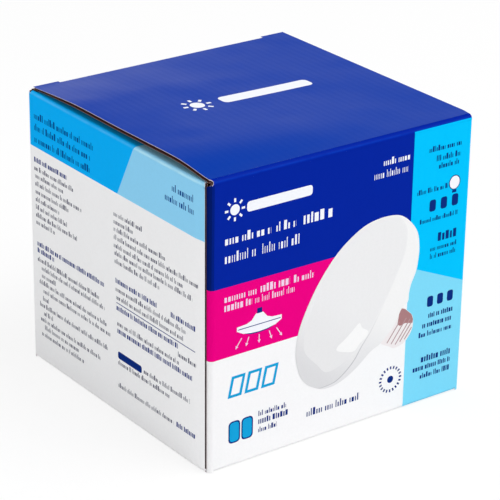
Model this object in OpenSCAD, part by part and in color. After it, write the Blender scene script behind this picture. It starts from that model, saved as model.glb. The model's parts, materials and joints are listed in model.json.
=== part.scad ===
// Tuck-top carton of printed microflute board, and the flat round LED bulb inside it.
// The carton is one die-cut blank: four panels, a glue flap, two dust flaps, a glued
// auto-lock bottom, and a lid with a slit-lock tuck flap. Only the lid opens.
// Frame: the origin is the middle of the underside, +Z is up, the front panel faces -Y,
// the glued side panel faces -X, and the lid is hinged along the front panel's top edge.

/* [Carton] */
// Width over the two side panels
box_w = 130; // [115:0.5:160]
// Depth over the front and back panels
box_d = 128.5; // [115:0.5:160]
// Height to the top of the closed lid
box_h = 123; // [118:0.5:160]

/* [Board] */
// Thickness of the microflute board
board_t = 1.5; // [1.2:0.1:2]
// Inside radius of a scored fold
score_r = 0.5; // [0.3:0.1:1]
// Space at the ends of a fold, where two scores meet
corner_gap = 0.3; // [0.2:0.1:1]

/* [Lid] */
// Trim at each end of the lid, inside the front panel's width
lid_trim = 0.4; // [0.2:0.1:1.5]
// Air under the lid, above the dust flaps and the back panel
lid_lift = 0.3; // [0.2:0.1:0.6]
// Width of the crease between the lid and the front panel
crease_gap = 0.2; // [0.1:0.05:0.3]
// Trim at the right end of the crease, inside the rounded corner
crease_trim = 1; // [0.6:0.1:2]
// Length over which the lid widens behind the crease
lid_taper = 4; // [2:0.5:10]
// Length of the tuck flap below its fold
tuck_len = 25; // [15:1:32]
// Air between the tuck flap and the back panel
tuck_gap = 0.3; // [0.2:0.1:0.6]
// Air between each end of the tuck flap and the side panel
tuck_trim = 1; // [0.8:0.1:3]
// Radius of the tuck flap's free corners
tuck_corner_r = 14; // [6:1:14]
// Length of the lock slit at each end of the tuck fold
slit_len = 12; // [6:1:18]

/* [Dust flaps] */
// Length of a dust flap from its fold
dust_len = 46; // [30:1:50]
// Air between a dust flap and the front panel
dust_front_gap = 0.8; // [0.6:0.1:2]
// Air between a dust flap and the tuck flap
dust_tuck_gap = 1.2; // [1.2:0.1:2]
// Depth of the step where the lock slit takes the dust flap
dust_step = 5; // [3:0.5:8]
// Taper of a dust flap's free edges
dust_taper = 4; // [2:0.5:6]
// Radius of a dust flap's free corners
dust_corner_r = 8; // [4:1:12]

/* [Glue flap] */
// Width of the glue flap inside the left panel
glue_w = 15; // [10:1:20]
// Slope cut off each end of the glue flap
glue_slope = 5; // [2:1:8]
// Setback of the left panel's cut edge behind the front face
raw_setback = 1.8; // [0.4:0.1:1.9]

/* [Bottom] */
// Half the offset of the stepped seam between the front and back bottom flaps
seam_step = 16; // [8:1:24]
// Width of the seam
seam_gap = 0.8; // [0.4:0.1:1.2]
// Corner cut off the free end of each seam flap
seam_chamfer = 12; // [6:1:20]
// Length of the inner bottom flaps
inner_len = 46; // [34:1:52]
// Corner cut off the inner bottom flaps
inner_chamfer = 26; // [10:1:32]
// Run over which an inner bottom flap climbs onto the outer ones
inner_climb = 2.5; // [1.5:0.5:4]
// Space at each end of a bottom flap
flap_relief = 0.6; // [0.4:0.1:1.5]

/* [Bulb] */
// Diameter of the diffuser
bulb_d = 118; // [90:1:120]
// Radius of the diffuser's rolled rim
rim_r = 6.5; // [4:0.5:8]
// Height of the housing's flare above the rim
flare_h = 18; // [10:1:40]
// Radius of the neck at the top of the flare
neck_r = 19; // [15:0.5:24]
// Height of the neck
neck_h = 10; // [6:1:26]
// Diameter over the screw cap's thread
cap_d = 26.4; // [24:0.1:27]
// Height of the screw cap's threaded shell
shell_h = 20; // [16:1:22]
// Pitch of the cap's thread
thread_pitch = 3.6; // [3:0.1:4]
// Depth of the cap's thread
thread_depth = 0.9; // [0.5:0.1:1.2]
// Diameter of the cap's centre contact
contact_d = 10; // [8:0.5:12]
// Height of the cap's insulator and contact
contact_h = 6; // [4:0.5:8]
// Width and depth of the seam between diffuser and housing
shade_seam = 0.7; // [0.4:0.1:1]
// Air between the diffuser and the inner bottom flaps
bulb_lift = 0.2; // [0.1:0.1:0.5]

/* [Hidden] */
$fn = 64;
eps = 0.01;                                     // overlap of pieces that join in one solid
glue_press = 0.05;                              // how far the glue flap is pressed into the left panel

fold_r = score_r + board_t;                     // outside radius of a fold
half_w = box_w / 2;
half_d = box_d / 2;
seat_top = box_h - board_t - lid_lift;          // top of what the lid lies on
front_x0 = -half_w + board_t - glue_press;      // left end of the front panel, at its glue flap
lid_x0 = front_x0 + lid_trim;
lid_x1 = half_w - lid_trim;
crease_x1 = half_w - crease_trim;
crease_z = box_h - fold_r;                      // where the front panel ends and its crease starts
crease_split = 135;                             // angle at which the crease is shared out
fold_y = half_d - fold_r;                       // half depth of a side panel between its folds
score_y = fold_y - corner_gap;                  // half length of the folds above and below it
lid_y0 = -fold_y;                               // where the lid's flat stretch starts

hinge_y = -fold_y + fold_r * cos(crease_split); // the crease turns about the middle of the fold's
hinge_z = crease_z + fold_r * sin(crease_split);    // outer liner

tuck_y = half_d - board_t - tuck_gap;           // outer face of the tuck fold
lid_y1 = tuck_y - fold_r;                       // where the lid's flat stretch ends
tuck_x0 = -half_w + board_t + tuck_trim;
tuck_x1 = half_w - board_t - tuck_trim;
swing_reach = tuck_y - hinge_y;
tuck_lean = asin(pow(tuck_len + fold_r, 2) / (2 * swing_reach * tuck_len));  // clears the back panel

dust_y0 = -half_d + board_t + dust_front_gap;
dust_y1 = tuck_y - board_t - dust_tuck_gap;
dust_flat = dust_len - fold_r;                  // what is left of a dust flap after its fold

outer_x = half_w - fold_r - inner_climb - flap_relief;   // half width of the front and back bottom flaps
inner_top = 2 * board_t;                        // top of the inner bottom flaps
inner_root = fold_y - flap_relief;              // half depth of an inner bottom flap at its fold

bulb_r = bulb_d / 2;
shade_h = 2 * rim_r;                            // height of the diffuser
flare_steps = 14;
flare_power = 1.8;                              // how quickly the flare runs in to the neck
cap_r = cap_d / 2;
neck_taper = 2.5;                               // how much the neck narrows towards the cap
flare_top = shade_h + flare_h;
neck_top = flare_top + neck_h;
shell_top = neck_top + shell_h;
thread_turns = floor((shell_h - thread_pitch) / thread_pitch);

// Extrudes a (y, z) outline from x0 to x1
module along_x(x0, x1) {
  translate([x0, 0, 0]) rotate([90, 0, 90]) linear_extrude(x1 - x0) children();
}

// Extrudes an (x, z) outline from y0 to y1
module along_y(y0, y1) {
  translate([0, y1, 0]) rotate([90, 0, 0]) linear_extrude(y1 - y0) children();
}

// Section of the board bent round a score, from angle a0 to a1 about the origin
module bend(a0, a1) {
  reach = 2 * fold_r;
  intersection() {
    difference() {
      circle(fold_r);
      circle(score_r);
    }
    polygon([[0, 0], for (i = [0:2]) reach * [cos(a0 + i * (a1 - a0) / 2), sin(a0 + i * (a1 - a0) / 2)]]);
  }
}

// Flap outline: root on the X axis, free end at y = len, both free corners round
module flap_outline(x0, x1, len, r) {
  intersection() {
    translate([x0, -eps]) square([x1 - x0, len + eps]);
    union() {
      translate([x0, -eps]) square([x1 - x0, len - r + eps]);
      translate([x0 + r, -eps]) square([x1 - x0 - 2 * r, len + eps]);
      for (x = [x0 + r, x1 - r])
        translate([x, len - r]) circle(r);
    }
  }
}

// Upright panels, with the upright folds between them
module panels() {
  // front panel, with its share of the crease along the top
  along_x(front_x0 + fold_r, half_w - fold_r)
    translate([-half_d, fold_r]) square([board_t, crease_z - fold_r]);
  along_x(lid_x0, crease_x1) crease(crease_split, 180);
  // back panel, cut off square below the lid
  along_x(-half_w + fold_r, half_w - fold_r)
    translate([half_d - board_t, fold_r]) square([board_t, seat_top - fold_r]);
  // right and left panels
  along_y(-fold_y, fold_y)
    translate([half_w - board_t, fold_r]) square([board_t, seat_top - 2 * fold_r]);
  along_y(-half_d + raw_setback, fold_y)
    translate([-half_w, fold_r]) square([board_t, seat_top - 2 * fold_r]);
  upright_fold(half_w - fold_r, -fold_y, 270, crease_z - corner_gap);
  upright_fold(half_w - fold_r, fold_y, 0, seat_top - corner_gap);
  upright_fold(-half_w + fold_r, fold_y, 90, seat_top - corner_gap);
}

// Share of the crease's section between two angles, cut off short of the other share
module crease(a0, a1) {
  translate([-fold_y, crease_z]) difference() {
    bend(a0, a1);
    rotate(crease_split) translate([0, -crease_gap / 2]) square([2 * fold_r, crease_gap]);
  }
}

module upright_fold(x, y, turn, top) {
  translate([x, y, corner_gap]) linear_extrude(top - corner_gap) bend(turn, turn + 90);
}

// Fold at the front panel's left edge, and the flap glued inside the left panel
module glue_flap() {
  upright_fold(front_x0 + fold_r, -fold_y, 180, crease_z - corner_gap);
  translate([front_x0, -fold_y, 0]) rotate([90, 0, 90]) linear_extrude(board_t)
    polygon([[-eps, fold_r], [-eps, seat_top - fold_r], [glue_w, seat_top - fold_r - glue_slope],
             [glue_w, fold_r + glue_slope]]);
}

// Dust flap on the right panel: a square root for the lock slit, a step, then a tapered tongue
module dust_flap() {
  tongue_y1 = dust_y1 - dust_step;
  run = dust_flat - dust_step;                  // length of the tapered stretch
  taper = run * tan(dust_taper);
  root = min(slit_len, dust_flat - 2 * dust_step);
  x_fold = half_w - fold_r;
  along_y(-score_y, score_y)
    translate([x_fold, seat_top - fold_r]) bend(0, 90);
  translate([0, 0, seat_top - board_t]) linear_extrude(board_t) intersection() {
    polygon([[x_fold + eps, dust_y0], [x_fold + eps, dust_y1], [x_fold - root, dust_y1],
             [x_fold - root - dust_step, tongue_y1], [x_fold - dust_flat, tongue_y1 - taper],
             [x_fold - dust_flat, dust_y0 + taper]]);
    translate([x_fold, 0]) rotate(90)
      flap_outline(dust_y0 + taper / 2, tongue_y1 - taper / 2, dust_flat, dust_corner_r);
  }
  // the root keeps its full width up to the step
  translate([0, 0, seat_top - board_t]) linear_extrude(board_t)
    polygon([[x_fold + eps, dust_y0], [x_fold + eps, dust_y1], [x_fold - root, dust_y1],
             [x_fold - root - dust_step, tongue_y1], [x_fold - root - dust_step, dust_y0 + taper / 2],
             [x_fold - root, dust_y0]]);
}

// Bottom flap of the front panel, from its fold, between x0 and x1, to the stepped seam
module seam_flap(x0, x1) {
  edge = seam_gap / 2;
  along_x(x0 + corner_gap, x1 - corner_gap)
    translate([-fold_y, fold_r]) bend(180, 270);
  linear_extrude(board_t)
    polygon([[-outer_x, -fold_y - eps], [outer_x, -fold_y - eps], [outer_x, -seam_step - edge],
             [seam_step - edge, -seam_step - edge], [-seam_step - edge, seam_step - edge],
             [-outer_x + seam_chamfer, seam_step - edge], [-outer_x, seam_step - edge - seam_chamfer]]);
}

// Inner bottom flap of the right panel: it climbs onto the outer flaps, where it is glued
module inner_flap() {
  x_fold = half_w - fold_r;
  x_top = x_fold - inner_climb;
  x_end = x_fold - inner_len;
  tip = inner_root - inner_chamfer;
  along_y(-score_y, score_y)
    translate([x_fold, fold_r]) bend(270, 360);
  along_y(-inner_root, inner_root)
    polygon([[x_fold + eps, 0], [x_fold + eps, board_t], [x_top, inner_top], [x_top - eps, inner_top],
             [x_top - eps, board_t], [x_top, board_t]]);
  translate([0, 0, board_t]) linear_extrude(board_t)
    polygon([[x_top, -inner_root], [x_top, inner_root], [x_end + inner_chamfer, inner_root],
             [x_end, tip], [x_end, -tip], [x_end + inner_chamfer, -inner_root]]);
}

module carton() {
  color("aliceblue") {
    panels();
    glue_flap();
    for (side = [0, 1])
      mirror([side, 0, 0]) {
        dust_flap();
        inner_flap();
      }
    seam_flap(front_x0 + fold_r, half_w - fold_r);
    rotate(180) seam_flap(-half_w + fold_r, half_w - fold_r);
  }
}

// Lid panel with its half of the crease, square shoulders at the slits, and the tuck flap
module lid() {
  color("mediumblue") {
    along_x(lid_x0, crease_x1) crease(90, crease_split);
    translate([0, 0, box_h - board_t]) linear_extrude(board_t)
      polygon([[lid_x0, lid_y0], [crease_x1, lid_y0], [lid_x1, lid_y0 + lid_taper], [lid_x1, lid_y1],
               [lid_x0, lid_y1]]);
    for (x0 = [lid_x0, lid_x1 - slit_len])
      translate([x0, lid_y1 - eps, box_h - board_t]) cube([slit_len, fold_r + eps, board_t]);
    translate([0, lid_y1, box_h - fold_r]) {
      along_x(lid_x0 + slit_len, lid_x1 - slit_len) bend(-tuck_lean, 90);
      rotate([-tuck_lean, 0, 0]) translate([0, fold_r - board_t, 0]) rotate([-90, 0, 0])
        linear_extrude(board_t) flap_outline(tuck_x0, tuck_x1, tuck_len, tuck_corner_r);
    }
  }
}

// Flat round bulb, standing on its diffuser with the screw cap up
module led_bulb() {
  color("white") translate([0, 0, inner_top + bulb_lift]) rotate_extrude() bulb_section();
}

// Right half of the bulb's section, on the axis x = 0
module bulb_section() {
  difference() {
    union() {
      square([bulb_r - rim_r, shade_h]);
      translate([bulb_r - rim_r, rim_r]) circle(rim_r);
      polygon([[0, rim_r], [bulb_r - rim_r, rim_r], for (i = [0:flare_steps]) flare_point(i / flare_steps),
               [neck_r - neck_taper, neck_top], [0, neck_top]]);
      translate([0, neck_top - eps]) square([cap_r - thread_depth, shell_h + eps]);
      for (i = [1:thread_turns])
        translate([cap_r - 1.5 * thread_depth, neck_top + i * thread_pitch]) circle(1.5 * thread_depth);
      polygon([[0, shell_top - eps], [cap_r - thread_depth, shell_top - eps],
               [contact_d / 2, shell_top + contact_h * 0.7], [contact_d / 2, shell_top + contact_h],
               [0, shell_top + contact_h]]);
    }
    translate([bulb_r - shade_seam, rim_r]) square([shade_seam + eps, shade_seam]);
  }
}

// Point of the flare at s, from 0 at the rim to 1 at the neck
function flare_point(s) =
  [neck_r + (bulb_r - rim_r - neck_r) * pow(1 - s, flare_power), shade_h + flare_h * s];

carton();
lid();
led_bulb();
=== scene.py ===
import json
import math
import random

import bmesh
import bpy
from mathutils import Matrix, Vector

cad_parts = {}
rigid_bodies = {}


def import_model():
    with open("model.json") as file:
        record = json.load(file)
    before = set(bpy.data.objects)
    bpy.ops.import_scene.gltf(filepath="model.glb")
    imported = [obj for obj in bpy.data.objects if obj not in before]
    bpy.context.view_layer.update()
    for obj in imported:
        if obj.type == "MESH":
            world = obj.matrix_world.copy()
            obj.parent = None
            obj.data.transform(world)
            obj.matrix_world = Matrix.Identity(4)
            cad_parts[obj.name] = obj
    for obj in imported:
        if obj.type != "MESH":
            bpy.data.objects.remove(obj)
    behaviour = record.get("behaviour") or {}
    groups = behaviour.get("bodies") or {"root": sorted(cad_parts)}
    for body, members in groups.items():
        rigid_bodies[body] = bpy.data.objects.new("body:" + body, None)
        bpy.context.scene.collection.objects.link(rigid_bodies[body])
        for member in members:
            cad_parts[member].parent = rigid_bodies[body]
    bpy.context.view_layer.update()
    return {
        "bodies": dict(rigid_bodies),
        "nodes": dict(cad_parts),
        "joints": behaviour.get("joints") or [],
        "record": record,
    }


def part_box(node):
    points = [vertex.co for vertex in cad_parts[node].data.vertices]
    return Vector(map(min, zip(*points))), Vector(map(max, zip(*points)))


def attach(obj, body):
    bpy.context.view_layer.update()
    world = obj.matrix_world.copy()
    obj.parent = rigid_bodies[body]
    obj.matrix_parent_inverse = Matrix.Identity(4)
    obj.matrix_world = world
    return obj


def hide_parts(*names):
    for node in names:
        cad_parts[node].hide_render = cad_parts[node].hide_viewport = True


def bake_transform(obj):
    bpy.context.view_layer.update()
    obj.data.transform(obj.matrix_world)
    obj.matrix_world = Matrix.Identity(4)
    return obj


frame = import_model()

mm = 0.001                      # every size below is in millimetres


def vec(x, y, z):
    return Vector((x, y, z)) * mm


# The camera stands where the photograph was taken from
cameraSetup = {
    "lens": 162.55,
    "sensor": 36,
    "target": (2.32, 0, 56.09),
    "distance": 940.6,
    "azimuth": -36.574,         # degrees, 0 looks along +Y
    "elevation": 23.587,
    "roll": 0.905,
    "clipEnd": 20,              # metres
}


def placeCamera():
    azimuth, elevation, roll = [math.radians(cameraSetup[key]) for key in ("azimuth", "elevation", "roll")]
    back = Vector((math.sin(azimuth) * math.cos(elevation),
                   -math.cos(azimuth) * math.cos(elevation),
                   math.sin(elevation)))
    right = (-back).cross(Vector((0, 0, 1))).normalized()
    up = right.cross(-back)
    turnedRight = right * math.cos(roll) + up * math.sin(roll)
    turnedUp = up * math.cos(roll) - right * math.sin(roll)
    bpy.ops.object.camera_add(location=vec(*cameraSetup["target"]) + back * cameraSetup["distance"] * mm)
    camera = bpy.context.object
    camera.name = "photoCamera"
    camera.rotation_euler = Matrix((turnedRight, turnedUp, back)).transposed().to_euler()
    camera.data.sensor_width = cameraSetup["sensor"]
    camera.data.lens = cameraSetup["lens"]
    camera.data.clip_end = cameraSetup["clipEnd"]
    bpy.context.scene.camera = camera


placeCamera()
print("camera placed")

# Sizes of the board, shared by every panel
board = {
    "thick": 1.5,
    "liner": 0.25,
    "medium": 0.2,              # thickness of the corrugated sheet
    "pitch": 3.3,               # one flute
    "waveSteps": 8,             # faces to a flute
    "fold": 2.0,                # outside radius of a fold
    "foldSteps": 8,
    "lidLift": 0.3,             # play under the lid
    "creaseTrim": 0.6,          # the score stops this far short of the lid's right edge
    "paleEdge": 1.3,            # the cut edge is pale on faces narrower than so many liners
    "weld": 0.005,              # corners closer than this are merged
}
smoothAngle = 30                # degrees
touch = 0.02                    # places closer than this count as one
slack = 0.1                     # how far a pick reaches past the stretch it is meant for

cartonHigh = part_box("carton")[1] / mm
lidLow, lidHigh = [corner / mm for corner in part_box("lid")]
halfW = cartonHigh.x
halfD = cartonHigh.y
topZ = lidHigh.z
fold = board["fold"]
seatTop = topZ - board["thick"] - board["lidLift"]     # top of what the lid lies on
creaseX0, creaseX1 = lidLow.x, lidHigh.x - board["creaseTrim"]


def startEdit(obj):
    bpy.ops.object.select_all(action="DESELECT")
    obj.select_set(True)
    bpy.context.view_layer.objects.active = obj
    bpy.ops.object.mode_set(mode="EDIT")
    bpy.ops.mesh.select_mode(type="VERT")
    bpy.ops.mesh.select_all(action="DESELECT")


def endEdit():
    bpy.ops.object.mode_set(mode="OBJECT")


# Selects the vertices whose place in millimetres passes the test, with what lies between them
def pick(obj, test):
    bpy.ops.mesh.select_all(action="DESELECT")
    mesh = bmesh.from_edit_mesh(obj.data)
    for vertex in mesh.verts:
        if test(vertex.co / mm):
            vertex.select_set(True)
    mesh.select_flush_mode()
    bmesh.update_edit_mesh(obj.data)


def pickEdges(obj, test):
    bpy.ops.mesh.select_all(action="DESELECT")
    bpy.ops.mesh.select_mode(type="EDGE")
    mesh = bmesh.from_edit_mesh(obj.data)
    for edge in mesh.edges:
        if all(test(end.co / mm) for end in edge.verts):
            edge.select_set(True)
    mesh.select_flush_mode()
    bmesh.update_edit_mesh(obj.data)


def extrude(x, y, z):
    bpy.ops.mesh.extrude_region_move(TRANSFORM_OT_translate={"value": vec(x, y, z)})


def shift(x, y, z):
    bpy.ops.transform.translate(value=vec(x, y, z))


# Turns the selected edge about a line: the board goes round a score there
def foldOver(angle, centre, axis):
    steps = max(1, round(abs(angle) / 90 * board["foldSteps"]))
    bpy.ops.mesh.spin(steps=steps, angle=-math.radians(angle), center=vec(*centre), axis=axis)


# Cuts the whole mesh across at places along one axis
def cutAcross(normal, places):
    for place in places:
        bpy.ops.mesh.select_all(action="SELECT")
        bpy.ops.mesh.bisect(plane_co=Vector(normal) * place * mm, plane_no=normal)


# Merges what meets, turns the faces one way and ends the edit
def closeSheet(weld=board["weld"]):
    bpy.ops.mesh.select_all(action="SELECT")
    bpy.ops.mesh.remove_doubles(threshold=weld * mm)
    bpy.ops.mesh.normals_make_consistent(inside=False)
    endEdit()


def near(value, target, reach=touch):
    return abs(value - target) < reach


def ease(value):
    value = min(1, max(0, value))
    return value * value * (3 - 2 * value)


# Point at t of a smooth stretch with a given slope at each end
def between(start, end, startSlope, endSlope, t):
    return ((2 * t ** 3 - 3 * t ** 2 + 1) * start + (t ** 3 - 2 * t ** 2 + t) * startSlope
            + (3 * t ** 2 - 2 * t ** 3) * end + (t ** 3 - t ** 2) * endSlope)


# A smooth curve through points, read at a place along the first of their two numbers
def curveAt(points, place):
    place = min(max(place, points[0][0]), points[-1][0])
    step = next(step for step in range(1, len(points)) if place <= points[step][0])
    before, (x0, y0), (x1, y1) = points[max(step - 2, 0)], points[step - 1], points[step]
    after = points[min(step + 1, len(points) - 1)]
    slope0 = (y1 - before[1]) / (x1 - before[0]) * (x1 - x0)
    slope1 = (after[1] - y0) / (after[0] - x0) * (x1 - x0)
    return between(y0, y1, slope0, slope1, (place - x0) / (x1 - x0))


# A flat plate: width and height along its own x and y, before it is turned
def addPlate(name, centre, turn, width, height):
    bpy.ops.object.select_all(action="DESELECT")
    bpy.ops.mesh.primitive_plane_add(size=1)
    plate = bpy.context.object
    plate.name = name
    startEdit(plate)
    bpy.ops.mesh.select_all(action="SELECT")
    bpy.ops.transform.resize(value=(width * mm, height * mm, 1))
    endEdit()
    plate.data.transform(Matrix.Translation(vec(*centre)) @ turn)
    return plate


faceUp = Matrix.Identity(4)
faceFront = Matrix.Rotation(math.radians(90), 4, "X")
faceLeft = Matrix.Rotation(math.radians(-90), 4, "Z") @ faceFront


# Flips the sheet if its face nearest to a place looks the wrong way
def facesOutward(obj, place, outward):
    face = min(obj.data.polygons, key=lambda polygon: (polygon.center - vec(*place)).length)
    if face.normal.dot(Vector(outward)) < 0:
        obj.data.flip_normals()


def joinPieces(pieces, name):
    bpy.ops.object.select_all(action="DESELECT")
    for piece in pieces:
        piece.select_set(True)
    bpy.context.view_layer.objects.active = pieces[0]
    bpy.ops.object.join()
    pieces[0].name = name
    pieces[0].data.name = name
    return pieces[0]


def copyPiece(obj, name):
    twin = obj.copy()
    twin.data = obj.data.copy()
    twin.name = name
    bpy.context.scene.collection.objects.link(twin)
    return twin


def applyModifier(obj, kind, **settings):
    bpy.ops.object.select_all(action="DESELECT")
    obj.select_set(True)
    bpy.context.view_layer.objects.active = obj
    modifier = obj.modifiers.new(kind, kind)
    for key, value in settings.items():
        setattr(modifier, key, value)
    bpy.ops.object.modifier_apply(modifier=modifier.name)


def smooth(obj, weighted=True):
    bpy.ops.object.select_all(action="DESELECT")
    obj.select_set(True)
    bpy.context.view_layer.objects.active = obj
    bpy.ops.object.shade_smooth_by_angle(angle=math.radians(smoothAngle))
    if weighted:
        applyModifier(obj, "WEIGHTED_NORMAL", keep_sharp=True)


# Colours, written as they should look under plain light
def srgb(red, green, blue):
    def linear(value):
        value /= 255
        return value / 12.92 if value <= 0.04045 else ((value + 0.055) / 1.055) ** 2.4
    return (linear(red), linear(green), linear(blue), 1)


paperWhite = srgb(243, 243, 244)
printBlue = srgb(3, 36, 155)
foldShadeBlue = srgb(2, 31, 127)     # painted shade: the blue is darker round the front panel's left fold, more so at its edge
edgeShadeBlue = srgb(2, 26, 104)
# lighter blue for rubbed ink and a painted highlight on the lid's front fold
wornHighlightBlue = srgb(16, 66, 190)
lidBlue = srgb(5, 59, 167)
printMagenta = srgb(233, 0, 128)
printCyan = srgb(0, 191, 248)
printPaleCyan = srgb(124, 214, 243)
signCyan = srgb(20, 158, 214)
sideCyan = srgb(0, 173, 248)
sidePaleCyan = srgb(142, 210, 245)
# lighter cyan for rubbed ink and a painted highlight on the side panels' top folds
wornHighlightCyan = srgb(196, 242, 255)
printNavy = srgb(12, 44, 122)
sideNavy = srgb(0, 70, 140)
printWhite = srgb(240, 242, 248)
printPale = srgb(236, 206, 232)
smallText = srgb(84, 86, 106)

varnish = {
    "rough": 0.3,
    "specular": 0.012,
    "lidSpecular": 0.08,        # the lid is seen at a flat angle, where its varnish shines
    "mottle": 0.025,            # how much the ink's tone wanders
    "fibreScale": 900,
    "fibreHeight": 0.012,
    "washboard": 0.010,         # height of the flutes' show-through
    "warpScale": 34,
    "lidWarp": 0.5,
    "highlightNoiseScale": 180,
    # middle, reach and strength of the rubbed ink and painted highlight on a fold, and its colour
    "sideWearHighlight": (120.5, 0.75, 1.1, wornHighlightCyan),
    "highlightCalm": 0.85,          # share of the painted highlight that is missing on the darker cyan
    "creaseWearHighlight": (122.0, 0.6, 0.7, wornHighlightBlue),
}

# Uncoated brown papers
pulp = {
    "fibreScale": 700,
    "fibreDetail": 4,
    "fibreHeight": 0.03,
    "rough": 0.85,
    "specular": 0.2,
}


def newMaterial(name):
    material = bpy.data.materials.new(name)
    material.use_nodes = True
    tree = material.node_tree
    return material, tree, tree.nodes["Principled BSDF"]


# Puts a value, or what another socket gives, into a socket
def feed(tree, socket, value):
    if isinstance(value, (tuple, int, float)):
        socket.default_value = value
    else:
        tree.links.new(value, socket)


def calculate(tree, operation, *values):
    node = tree.nodes.new("ShaderNodeMath")
    node.operation = operation
    for socket, value in zip(node.inputs, values):
        feed(tree, socket, value)
    return node.outputs[0]


# How far a place lies along a direction, in millimetres
def placeAlong(tree, place, direction):
    dot = tree.nodes.new("ShaderNodeVectorMath")
    dot.operation = "DOT_PRODUCT"
    dot.inputs[1].default_value = Vector(direction) / mm
    tree.links.new(place, dot.inputs[0])
    return dot.outputs["Value"]


# 1 where the place, measured along the normal, is past reach
def inHalf(tree, place, normal, reach):
    return calculate(tree, "GREATER_THAN", placeAlong(tree, place, normal), reach)


def mixColours(tree, factor, low, high, blend="MIX"):
    mix = tree.nodes.new("ShaderNodeMix")
    mix.data_type = "RGBA"
    mix.blend_type = blend
    for key, value in (("Factor", factor), ("A", low), ("B", high)):
        feed(tree, mix.inputs[key], value)
    return mix.outputs["Result"]


def mixShaders(tree, factor, first, second):
    mix = tree.nodes.new("ShaderNodeMixShader")
    for socket, value in zip(mix.inputs, (factor, first, second)):
        feed(tree, socket, value)
    return mix.outputs["Shader"]


def noise(tree, place, scale, detail=2):
    texture = tree.nodes.new("ShaderNodeTexNoise")
    texture.inputs["Scale"].default_value = scale
    texture.inputs["Detail"].default_value = detail
    tree.links.new(place, texture.inputs["Vector"])
    return texture.outputs["Fac"]


# Maps one span of values to another
def spread(tree, value, source, result, curve="LINEAR"):
    node = tree.nodes.new("ShaderNodeMapRange")
    node.interpolation_type = curve
    for end, low, high in zip(("Min", "Max"), source, result):
        node.inputs["From " + end].default_value = low
        node.inputs["To " + end].default_value = high
    tree.links.new(value, node.inputs["Value"])
    return node.outputs["Result"]


# Bump of a height in millimetres, over the normals that another bump gives
def bumpOf(tree, height, distance, under=None):
    bump = tree.nodes.new("ShaderNodeBump")
    bump.inputs["Distance"].default_value = distance * mm
    tree.links.new(height, bump.inputs["Height"])
    if under:
        tree.links.new(under, bump.inputs["Normal"])
    return bump.outputs["Normal"]


# Rubbed ink with a painted highlight round a level fold: most in its middle, and in patches
def wearAndHighlight(tree, place, colour, middle, reach, strength, bare):
    split = tree.nodes.new("ShaderNodeSeparateXYZ")
    tree.links.new(place, split.inputs[0])
    away = calculate(tree, "ABSOLUTE", calculate(tree, "SUBTRACT", split.outputs["Z"], middle * mm))
    fall = spread(tree, away, (0, reach * mm), (strength, 0), "SMOOTHSTEP")
    rubbed = calculate(tree, "MULTIPLY", fall, noise(tree, place, varnish["highlightNoiseScale"]))
    darker = inHalf(tree, place, *fields["bandSplit"])
    calm = calculate(tree, "MULTIPLY_ADD", darker, -varnish["highlightCalm"], 1)
    return mixColours(tree, calculate(tree, "MULTIPLY", rubbed, calm), colour, bare)


# Varnished paper with straight-edged colour fields. A field is a colour and the half planes that
# bound it. shade is a second ground colour, the direction it lies in, and where it starts and ends
def printedPaper(name, ground, inkFields=(), fluteAxis="X", rubAndHighlight=None, shade=None,
                 specular=varnish["specular"], warp=0):
    material, tree, shader = newMaterial(name)
    place = tree.nodes.new("ShaderNodeTexCoord").outputs["Object"]
    colour = ground
    if shade:
        second, direction, span = shade
        run = spread(tree, placeAlong(tree, place, direction), span, (0, 1), "SMOOTHSTEP")
        colour = mixColours(tree, run, ground, second)
    for ink, bounds in inkFields:
        inside = None
        for normal, reach in bounds:
            past = inHalf(tree, place, normal, reach)
            inside = past if inside is None else calculate(tree, "MULTIPLY", inside, past)
        colour = mixColours(tree, inside, colour, ink)
    # rubbed ink and a painted highlight along a fold
    if rubAndHighlight:
        colour = wearAndHighlight(tree, place, colour, *rubAndHighlight)
    fibre = noise(tree, place, varnish["fibreScale"])
    tone = spread(tree, fibre, (0, 1), (1 - varnish["mottle"], 1 + varnish["mottle"]))
    tree.links.new(mixColours(tree, 1, colour, tone, "MULTIPLY"), shader.inputs["Base Color"])
    wave = tree.nodes.new("ShaderNodeTexWave")
    wave.bands_direction = fluteAxis
    wave.inputs["Scale"].default_value = 1 / (board["pitch"] * mm) * math.pi / 10     # one band to a flute
    tree.links.new(place, wave.inputs["Vector"])
    fluteShare = varnish["washboard"] / varnish["fibreHeight"]
    height = calculate(tree, "MULTIPLY_ADD", wave.outputs["Fac"], fluteShare, fibre)
    swell = None
    if warp:                    # the board isn't quite flat
        swell = bumpOf(tree, noise(tree, place, varnish["warpScale"], 1), warp)
    tree.links.new(bumpOf(tree, height, varnish["fibreHeight"], swell), shader.inputs["Normal"])
    shader.inputs["Roughness"].default_value = varnish["rough"]
    shader.inputs["Specular IOR Level"].default_value = specular
    return material


# Uncoated brown paper with its fibres and flecks
def kraftPaper(name, light, dark, stretch=(1, 1, 1)):
    material, tree, shader = newMaterial(name)
    along = tree.nodes.new("ShaderNodeMapping")
    along.inputs["Scale"].default_value = stretch
    tree.links.new(tree.nodes.new("ShaderNodeTexCoord").outputs["Object"], along.inputs["Vector"])
    fibre = noise(tree, along.outputs["Vector"], pulp["fibreScale"], pulp["fibreDetail"])
    tree.links.new(mixColours(tree, fibre, dark, light), shader.inputs["Base Color"])
    tree.links.new(bumpOf(tree, fibre, pulp["fibreHeight"]), shader.inputs["Normal"])
    shader.inputs["Roughness"].default_value = pulp["rough"]
    shader.inputs["Specular IOR Level"].default_value = pulp["specular"]
    return material


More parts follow.
